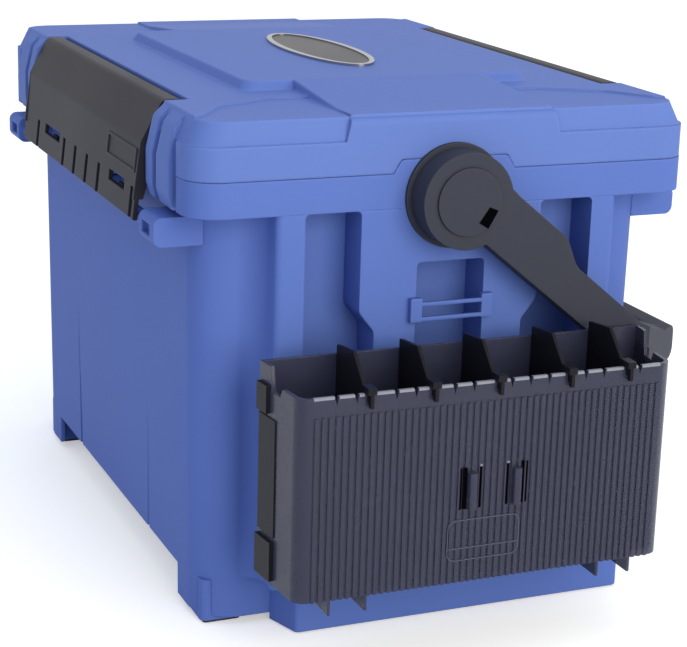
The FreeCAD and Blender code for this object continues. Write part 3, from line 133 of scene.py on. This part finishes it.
def soft_lamp(name, place, target, size, power, colour):
    """A square lamp of a colour at a place, turned to face a target."""
    data = bpy.data.lights.new(name, "AREA")
    data.size = size
    data.energy = power
    data.color = colour
    lamp = bpy.data.objects.new(name, data)
    bpy.context.scene.collection.objects.link(lamp)
    lamp.location = place
    lamp.rotation_euler = (Vector(target) - Vector(place)).to_track_quat("-Z", "Y").to_euler()


soft_lamp("lamp_front", place=(0.35, -2.1, 0.8), target=(0, 0, 0.15), size=1.5, power=38.0,
          colour=(1.0, 0.91, 0.70))
soft_lamp("lamp_top", place=(0.3, -0.2, 2.3), target=(0, 0, 0.2), size=1.4, power=6.0,
          colour=(1.0, 0.95, 0.86))

# ---------------------------------------------------------------- case
# The blue case is one thick moulding in polypropylene with a fine spark-eroded
# grain; handling leaves it slightly polished and unevenly shiny. The pillars on
# its ends keep sharp roots, and soft rubber pads sit under it and in the latches.


def fine_grain_group():
    """Grain of a mould's texture: fine noise for the height, and a slow one for patches."""
    tree = bpy.data.node_groups.new("moulded_grain", "ShaderNodeTree")
    for name in ("Grain Size", "Patch Size"):
        tree.interface.new_socket(name, in_out="INPUT", socket_type="NodeSocketFloat")
    for name in ("Height", "Patches"):
        tree.interface.new_socket(name, in_out="OUTPUT", socket_type="NodeSocketFloat")
    nodes, links = tree.nodes, tree.links
    given = nodes.new("NodeGroupInput")
    made = nodes.new("NodeGroupOutput")
    place = nodes.new("ShaderNodeTexCoord")
    grain = nodes.new("ShaderNodeTexNoise")
    grain.inputs["Detail"].default_value = 3.0
    links.new(place.outputs["Object"], grain.inputs["Vector"])
    links.new(given.outputs["Grain Size"], grain.inputs["Scale"])
    links.new(grain.outputs["Fac"], made.inputs["Height"])
    patches = nodes.new("ShaderNodeTexNoise")
    patches.inputs["Detail"].default_value = 4.0
    patches.inputs["Roughness"].default_value = 0.6
    links.new(place.outputs["Object"], patches.inputs["Vector"])
    links.new(given.outputs["Patch Size"], patches.inputs["Scale"])
    links.new(patches.outputs["Fac"], made.inputs["Patches"])
    return tree


moulded_grain = fine_grain_group()


def moulded_plastic(name, colour, lighter, roughness, grain_size=900.0, grain_depth=0.00006,
                    patch_size=7.0, soft_edge=0.0005, edge_highlight=0.45, specular=0.05):
    """A moulded plastic: near colours in slow patches, uneven shine, fine grain, painted edge
    highlights.

    Where the rounded normal turns from the flat one, the edge is painted paler as a highlight:
    1.6 times the lighter colour and a little more."""
    material, shader = new_material(name, roughness, specular)
    nodes, links = material.node_tree.nodes, material.node_tree.links
    grain = nodes.new("ShaderNodeGroup")
    grain.node_tree = moulded_grain
    grain.inputs["Grain Size"].default_value = grain_size
    grain.inputs["Patch Size"].default_value = patch_size
    tint = nodes.new("ShaderNodeMix")
    tint.data_type = "RGBA"
    tint.inputs["A"].default_value = (*colour, 1.0)
    tint.inputs["B"].default_value = (*lighter, 1.0)
    links.new(grain.outputs["Patches"], tint.inputs["Factor"])
    rounding = nodes.new("ShaderNodeBevel")
    rounding.samples = 4
    rounding.inputs["Radius"].default_value = soft_edge
    flat = nodes.new("ShaderNodeNewGeometry")
    turn = nodes.new("ShaderNodeVectorMath")
    turn.operation = "DOT_PRODUCT"
    links.new(rounding.outputs["Normal"], turn.inputs[0])
    links.new(flat.outputs["Normal"], turn.inputs[1])
    # Painted highlight: edges are made paler where the rounded normal turns from the flat one.
    edge_highlight_mask = nodes.new("ShaderNodeMapRange")
    edge_highlight_mask.inputs["From Min"].default_value = 0.86
    edge_highlight_mask.inputs["From Max"].default_value = 0.997
    edge_highlight_mask.inputs["To Min"].default_value = edge_highlight
    edge_highlight_mask.inputs["To Max"].default_value = 0.0
    links.new(turn.outputs["Value"], edge_highlight_mask.inputs["Value"])
    highlighted = nodes.new("ShaderNodeMix")
    highlighted.data_type = "RGBA"
    highlight_colour = [min(1.0, 1.6 * part + 0.02) for part in lighter]
    highlighted.inputs["B"].default_value = (*highlight_colour, 1.0)
    links.new(edge_highlight_mask.outputs["Result"], highlighted.inputs["Factor"])
    links.new(tint.outputs["Result"], highlighted.inputs["A"])
    links.new(highlighted.outputs["Result"], shader.inputs["Base Color"])
    shine = nodes.new("ShaderNodeMapRange")
    shine.inputs["To Min"].default_value = roughness - 0.06
    shine.inputs["To Max"].default_value = roughness + 0.08
    links.new(grain.outputs["Patches"], shine.inputs["Value"])
    links.new(shine.outputs["Result"], shader.inputs["Roughness"])
    bump = nodes.new("ShaderNodeBump")
    bump.inputs["Strength"].default_value = 0.5
    bump.inputs["Distance"].default_value = grain_depth
    links.new(grain.outputs["Height"], bump.inputs["Height"])
    links.new(rounding.outputs["Normal"], bump.inputs["Normal"])
    links.new(bump.outputs["Normal"], shader.inputs["Normal"])
    return material


def dress(material, *names):
    """Puts a material on CAD nodes' own slots."""
    for name in names:
        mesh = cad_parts[name].data
        for slot in range(len(mesh.materials)):
            mesh.materials[slot] = material


deep_blue = (0.080, 0.136, 0.430)
deep_blue_lighter = (0.092, 0.152, 0.462)
case_blue = moulded_plastic("case_blue", deep_blue, deep_blue_lighter, 0.52, soft_edge=0.0016)
dress(case_blue, "body_shell", "case_rim", "tray_ledges", "end_panel_front", "end_panel_rear",
      "end_skirt_front", "end_skirt_rear", "foot_blocks", "latch_bar_left", "latch_bar_right",
      "utility_rail_front", "utility_rail_rear")
pillar_blue = moulded_plastic("pillar_blue", deep_blue, deep_blue_lighter, 0.52, soft_edge=0.0,
                              edge_highlight=0.0)
dress(pillar_blue, "end_pillars_front", "end_pillars_rear")
rubber = moulded_plastic("foot_rubber", (0.020, 0.020, 0.021), (0.030, 0.030, 0.031), 0.75)
dress(rubber, "foot_pads", "latch_pads_left", "latch_pads_right")

# ---------------------------------------------------------------- lid
# The lid is moulded in the same blue plastic, a shade cleaner than the case, and
# a latch holds it on each long side. Its seat carries an oval badge, a bare dark
# plate in a bright metal rim.

lid_blue = moulded_plastic("lid_blue", (0.095, 0.156, 0.450), (0.109, 0.174, 0.482), 0.50,
                           soft_edge=0.0026)
dress(lid_blue, "lid_shell")
badge_silver, badge_silver_shader = new_material("badge_silver", 0.28)
badge_silver_shader.inputs["Base Color"].default_value = (0.30, 0.30, 0.33, 1.0)
badge_silver_shader.inputs["Metallic"].default_value = 1.0
dress(badge_silver, "lid_badge_rim")
badge_dark = moulded_plastic("badge_dark", (0.030, 0.031, 0.036), (0.045, 0.046, 0.052), 0.30)
dress(badge_dark, "lid_badge_face")

# ---------------------------------------------------------------- latches and handle
# Both are hard plastic, near black, with a deeper satin grain than the case.
# They turn on rods, screws and bolts of zinc-plated steel, and the handle's
# bushes are white acetal.

deep_grain = {"grain_size": 1100.0, "grain_depth": 0.00008, "patch_size": 11.0}
latch_black = moulded_plastic("latch_black", (0.022, 0.022, 0.031), (0.031, 0.030, 0.041), 0.40,
                              soft_edge=0.0007, **deep_grain)
dress(latch_black, "latch_left", "latch_right")
handle_black = moulded_plastic("handle_black", (0.030, 0.033, 0.051), (0.041, 0.044, 0.064), 0.46,
                               soft_edge=0.0012, **deep_grain)
dress(handle_black, "handle_arm_front", "handle_arm_rear", "handle_grip", "hub_cap_front",
      "hub_cap_rear", "hub_plate_front", "hub_plate_rear")
bush_white = moulded_plastic("bush_white", (0.62, 0.61, 0.57), (0.70, 0.69, 0.65), 0.45)
dress(bush_white, "hub_bush_front", "hub_bush_rear")
plated, plated_shader = new_material("plated_steel", 0.32)
plated_shader.inputs["Base Color"].default_value = (0.62, 0.62, 0.60, 1.0)
plated_shader.inputs["Metallic"].default_value = 1.0
dress(plated, "latch_rod_left", "latch_rod_right", "handle_screws", "hub_bolt_front",
      "hub_bolt_rear", "hub_washer_front", "hub_washer_rear", "pocket_hanger_screws")

# ---------------------------------------------------------------- tray
# The inner tray and its two loose partitions are moulded in plain grey plastic.
# The tray runs on ledges in the case, and the partitions drop into its slots.

tray_grey = moulded_plastic("tray_grey", (0.24, 0.25, 0.27), (0.28, 0.29, 0.31), 0.45)
dress(tray_grey, "tray", "tray_dividers")

# ---------------------------------------------------------------- pocket
# The end pocket is a thin tub moulded in smoke-tinted clear plastic. It hangs
# on a black bracket, and five glossy black fins drop into its notches.


def smoke_plastic(name, colour, lighter, veil):
    """Smoke-clear plastic: tint and veil in slow patches, and a painted sheen that makes it paler
    where it is seen edge-on.
    """
    material, shader = new_material(name, 0.24, 0.25)
    nodes, links = material.node_tree.nodes, material.node_tree.links
    grain = nodes.new("ShaderNodeGroup")
    grain.node_tree = moulded_grain
    grain.inputs["Grain Size"].default_value = 160.0
    grain.inputs["Patch Size"].default_value = 16.0
    tint = nodes.new("ShaderNodeMix")
    tint.data_type = "RGBA"
    tint.inputs["A"].default_value = (*colour, 1.0)
    tint.inputs["B"].default_value = (*lighter, 1.0)
    links.new(grain.outputs["Patches"], tint.inputs["Factor"])
    rounding = nodes.new("ShaderNodeBevel")
    rounding.samples = 16
    rounding.inputs["Radius"].default_value = 0.0005
    # Painted sheen: a paler colour is mixed in where the surface is seen edge-on.
    sheen_facing = nodes.new("ShaderNodeLayerWeight")
    sheen_facing.inputs["Blend"].default_value = 0.25
    links.new(rounding.outputs["Normal"], sheen_facing.inputs["Normal"])
    rim = nodes.new("ShaderNodeMix")
    rim.data_type = "RGBA"
    rim.inputs["B"].default_value = (0.075, 0.080, 0.115, 1.0)
    links.new(sheen_facing.outputs["Facing"], rim.inputs["Factor"])
    links.new(tint.outputs["Result"], rim.inputs["A"])
    links.new(rim.outputs["Result"], shader.inputs["Base Color"])
    veiled = nodes.new("ShaderNodeMapRange")
    veiled.inputs["To Min"].default_value = veil - 0.05
    veiled.inputs["To Max"].default_value = veil + 0.05
    links.new(grain.outputs["Patches"], veiled.inputs["Value"])
    links.new(veiled.outputs["Result"], shader.inputs["Alpha"])
    smeared = nodes.new("ShaderNodeMapRange")
    smeared.inputs["To Min"].default_value = 0.16
    smeared.inputs["To Max"].default_value = 0.34
    links.new(grain.outputs["Height"], smeared.inputs["Value"])
    links.new(smeared.outputs["Result"], shader.inputs["Roughness"])
    links.new(rounding.outputs["Normal"], shader.inputs["Normal"])
    return material


smoke = smoke_plastic("smoke_clear", (0.025, 0.028, 0.060), (0.032, 0.036, 0.073), veil=0.82)
dress(smoke, "pocket_tub")
fin_black = moulded_plastic("fin_black", (0.007, 0.007, 0.010), (0.012, 0.012, 0.017), 0.30,
                            soft_edge=0.0004, specular=0.08)
fin_count = 5
fin_names = ["pocket_divider_%d" % (index + 1) for index in range(fin_count)]
dress(fin_black, "pocket_hanger", *fin_names)

# ---------------------------------------------------------------- pocket's edge
# Light that runs inside the clear wall leaves it along the front's top edge. A pale
# strip there is a painted highlight, a bright line between the notches and the fins' blocks.

# Painted highlight: a pale colour for the pocket's bright edge line and the clips' glints.
painted_highlight, painted_highlight_shader = new_material("painted_highlight", 0.25)
painted_highlight_shader.inputs["Base Color"].default_value = (0.19, 0.20, 0.25, 1.0)
pocket_low, pocket_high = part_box("pocket_tub")
rib_height = 0.0010
pocket_wall = 0.0024
pocket_front = pocket_low[1] + rib_height
pocket_middle = (pocket_low[0] + pocket_high[0]) / 2
wall_middle = pocket_front + pocket_wall / 2
edge_drop = 0.0090
edge_height = pocket_high[2] - edge_drop
edge_reach = 0.1060
edge_rise = 0.0004
edge_proud = 0.0001
edge_lap = 0.0012
shortest_line = 0.0014
# The line breaks at each fin and at each notch that shows: one that is nearer
# to a fin's middle than fin_cover lies under the fin's block.
fin_boxes = [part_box(name) for name in fin_names]
fin_places = np.array([(low[0] + high[0]) / 2 for low, high in fin_boxes])
fin_half = 0.0029
fin_cover = 0.0052
notch_count = 17
notch_pitch = 0.0116
notch_half = 0.0014


def link_piece(name, points, faces, material, body):
    """A mesh of points and faces, in one material, that rides on a body."""
    mesh = bpy.data.meshes.new(name)
    mesh.from_pydata(points.reshape(-1, 3).tolist(), [], faces)
    mesh.materials.append(material)
    piece = bpy.data.objects.new(name, mesh)
    bpy.context.scene.collection.objects.link(piece)
    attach(piece, body)


def straight_piece(name, section, start, end, axis, material, body):
    """A closed section, points listed once round, carried straight along one axis between caps.

    The section lies in the two other axes, in the order y z for x, x z for y and x y for z.
    Half the sum of x times the next y, less the next x times y, is its area, whose sign says
    which way round it runs, so that the faces can point outwards."""
    count = len(section)
    section = np.asarray(section, dtype=float)
    others = [place for place in range(3) if place != axis]
    points = np.zeros((2, count, 3))
    points[:, :, others] = section
    points[0, :, axis] = start
    points[1, :, axis] = end
    around = np.arange(count)
    after = (around + 1) % count
    sides = np.stack([around, after, after + count, around + count], axis=1)
    faces = sides.tolist() + [list(range(count))[::-1], list(range(count, 2 * count))]
    x, y = section[:, 0], section[:, 1]
    area = np.sum(x * np.roll(y, -1) - np.roll(x, -1) * y) / 2
    if (area > 0) == (axis == 1):
        faces = [face[::-1] for face in faces]
    link_piece(name, points, faces, material, body)


notch_places = pocket_middle + notch_pitch * (np.arange(notch_count) - notch_count // 2)
seen_notches = np.abs(notch_places[:, None] - fin_places).min(axis=1) > fin_cover
notch_places = notch_places[seen_notches]
gap_places = np.concatenate([notch_places, fin_places])
gap_halves = np.concatenate([np.full(len(notch_places), notch_half),
                             np.full(len(fin_places), fin_half)])
order = np.argsort(gap_places)
edge_starts = np.append(pocket_middle - edge_reach, (gap_places + gap_halves)[order])
edge_ends = np.append((gap_places - gap_halves)[order], pocket_middle + edge_reach)
half_round = np.linspace(0.0, np.pi, 7)
edge_section = np.concatenate([
    np.stack([wall_middle - (pocket_wall / 2 + edge_proud) * np.cos(half_round),
              edge_height + edge_rise * np.sin(half_round)], axis=1),
    [(wall_middle, edge_height - edge_lap / 2),
     (pocket_front - edge_proud, edge_height - edge_lap)]])
for index, (start, end) in enumerate(zip(edge_starts, edge_ends)):
    if end - start > shortest_line:
        straight_piece("pocket_edge_%d" % (index + 1), edge_section, start, end, 0, painted_highlight,
                       "case")

# ---------------------------------------------------------------- pocket's clips
# Two narrow loops for a strap stand on the pocket's front, moulded with it in
# the same clear plastic. Each stands between slots shown as flush black boxes of
# painted shade, with a pale painted highlight above the inner one. A fine raised
# outline below them frames a label.

# Painted shade: near-black flush boxes stand for the depth of the slots.
painted_slot_shade = moulded_plastic("painted_slot_shade", (0.001, 0.001, 0.002), (0.002, 0.002, 0.003), 0.85,
                            specular=0.0)
rib_face = pocket_front - rib_height
clip_low, clip_high = 0.097, 0.1215
clip_middle = -0.0023
clip_rise = 0.0036
bar_span = (0.0113, 0.0163)
bar_shorter = 0.003
slot_spans = ((0.0076, 0.0091), (0.0166, 0.0189), (0.0199, 0.0210))
slot_proud = 0.0002
glint_height = 0.0010
glint_proud = 0.0004
arch = np.linspace(0.0, np.pi, 25)


def beside_middle(side, span):
    """Left and right edges of a span of distances to one side of the clips' middle."""
    near, far = span
    return sorted((clip_middle + side * near, clip_middle + side * far))


def bar_section(left, right):
    """Loop's bar in plan: a superellipse, cos and sin of the arch angle to the power 0.5."""
    middle, half = (left + right) / 2, (right - left) / 2
    across = np.sign(np.cos(arch)) * np.abs(np.cos(arch)) ** 0.5
    out = np.abs(np.sin(arch)) ** 0.5
    return np.stack([middle + half * across, rib_face - clip_rise * out], axis=1)


def flush_box(name, left, right, low, high, proud, material):
    """A thin box on the face of the ribs, standing proud of it by a little."""
    section = [(left, low), (right, low), (right, high), (left, high)]
    straight_piece(name, section, rib_face - proud, pocket_front, 1, material, "case")


for side, name in ((-1, "left"), (1, "right")):
    straight_piece("clip_bar_" + name, bar_section(*beside_middle(side, bar_span)), clip_low,
                   clip_high - bar_shorter, 2, smoke, "case")
    for number, span in enumerate(slot_spans):
        flush_box("clip_slot_%s_%d" % (name, number + 1), *beside_middle(side, span), clip_low,
                  clip_high, slot_proud, painted_slot_shade)
        if number == 0:
            flush_box("clip_glint_" + name, *beside_middle(side, span), clip_high,
                      clip_high + glint_height, glint_proud, painted_highlight)

outline_pale, outline_shader = new_material("outline_pale", 0.35)
outline_shader.inputs["Base Color"].default_value = (0.060, 0.063, 0.095, 1.0)
label_left, label_right = -0.0297, 0.0150
label_low, label_high = 0.0663, 0.0906
label_line = 0.0735
label_corner = 0.005
label_width = 0.0004
label_proud = 0.0002
quarter = np.linspace(0.0, np.pi / 2, 6)


def rounded_outline(inset):
    """Label's outline: quarter circles at the corners, anticlockwise from the lower right."""
    radius = label_corner - inset
    low, high = label_low + inset, label_high - inset
    left, right = label_left + inset, label_right - inset
    corners = [(right - radius, low + radius, -np.pi / 2), (right - radius, high - radius, 0.0),
               (left + radius, high - radius, np.pi / 2), (left + radius, low + radius, np.pi)]
    return np.concatenate([np.stack([x + radius * np.cos(quarter + turned),
                                     z + radius * np.sin(quarter + turned)], axis=1)
                           for x, z, turned in corners])


def ring_piece(name, outer, inner, back, front, material, body):
    """A flat ring between two outlines with the same number of points, closed on all four sides.

    The points run outer front, inner front, outer back, inner back, and each step round the
    ring has one face in front, one behind, one outside and one inside."""
    count = len(outer)
    points = np.zeros((2, 2, count, 3))
    points[:, 0, :, ::2] = outer
    points[:, 1, :, ::2] = inner
    points[0, :, :, 1] = front
    points[1, :, :, 1] = back
    outer_front = np.arange(count)
    after = (outer_front + 1) % count
    inner_front, outer_back, inner_back = [outer_front + times * count for times in (1, 2, 3)]
    inner_after, back_after, inner_back_after = [after + times * count for times in (1, 2, 3)]
    faces = np.stack([outer_front, after, inner_after, inner_front,
                      back_after, outer_back, inner_back, inner_back_after,
                      after, outer_front, outer_back, back_after,
                      inner_front, inner_after, inner_back_after, inner_back], axis=1)
    link_piece(name, points, faces.reshape(-1, 4).tolist(), material, body)


ring_piece("label_outline", rounded_outline(0.0), rounded_outline(label_width), pocket_front,
           rib_face - label_proud, outline_pale, "case")
flush_box("label_line", label_left + label_width, label_right - label_width, label_line,
          label_line + label_width, label_proud, outline_pale)

# ---------------------------------------------------------------- pocket's carrier
# The tub is held in a black plastic carrier, which shows as an upright strip
# at each end of its back, between an upper and a lower lug.

pocket_back = pocket_high[1]
pocket_flare = 0.0050
flare_slope = pocket_flare / (pocket_back - pocket_front)
strip_inset = 0.0012
strip_back = pocket_back - strip_inset
strip_sunk = 0.0005
# Name, bottom, top, reach forward and rise from the tub's end wall.
carrier_parts = (("strip", 0.0820, 0.1500, 0.0210, 0.0008),
                 ("lug_high", 0.1520, 0.1680, 0.0130, 0.0024),
                 ("lug_low", 0.0560, 0.0790, 0.0200, 0.0024))


def wall_x(side, y):
    """Where the tub's end wall is in width at a depth: it flares evenly towards the back."""
    outer = pocket_low[0] if side < 0 else pocket_high[0]
    return outer - side * flare_slope * (pocket_back - y)


def strip_section(side, reach, rise):
    """Section in plan along an end wall: from a little inside it to a rise outside it."""
    strip_front = pocket_back - reach
    return [(wall_x(side, strip_back) - side * strip_sunk, strip_back),
            (wall_x(side, strip_back) + side * rise, strip_back),
            (wall_x(side, strip_front) + side * rise, strip_front),
            (wall_x(side, strip_front) - side * strip_sunk, strip_front)]


for side, name in ((-1, "left"), (1, "right")):
    for kind, low, high, reach, rise in carrier_parts:
        straight_piece("pocket_%s_%s" % (kind, name), strip_section(side, reach, rise), low, high,
                       2, fin_black, "case")

# ---------------------------------------------------------------- hub's slot
# Each hub's cap, over its bolt, has a deep slot moulded in it, shown as a thin
# near-black block of painted shade on the cap. The slot is set aslant below the
# middle and turns with the handle.

cap_low, cap_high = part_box("hub_cap_front")
rear_cap_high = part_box("hub_cap_rear")[1]
hub_middle = (cap_low[2] + cap_high[2]) / 2
slot_corners = [(0.0122, -0.0034), (0.0059, -0.0122), (0.0118, -0.0158), (0.0178, -0.0056)]
slot_shape = [(x, hub_middle + z) for x, z in slot_corners]
slot_sunk = 0.0010
straight_piece("hub_slot_front", slot_shape, cap_low[1] - slot_proud, cap_low[1] + slot_sunk, 1,
               painted_slot_shade, "handle")
straight_piece("hub_slot_rear", slot_shape, rear_cap_high[1] - slot_sunk,
               rear_cap_high[1] + slot_proud, 1, painted_slot_shade, "handle")
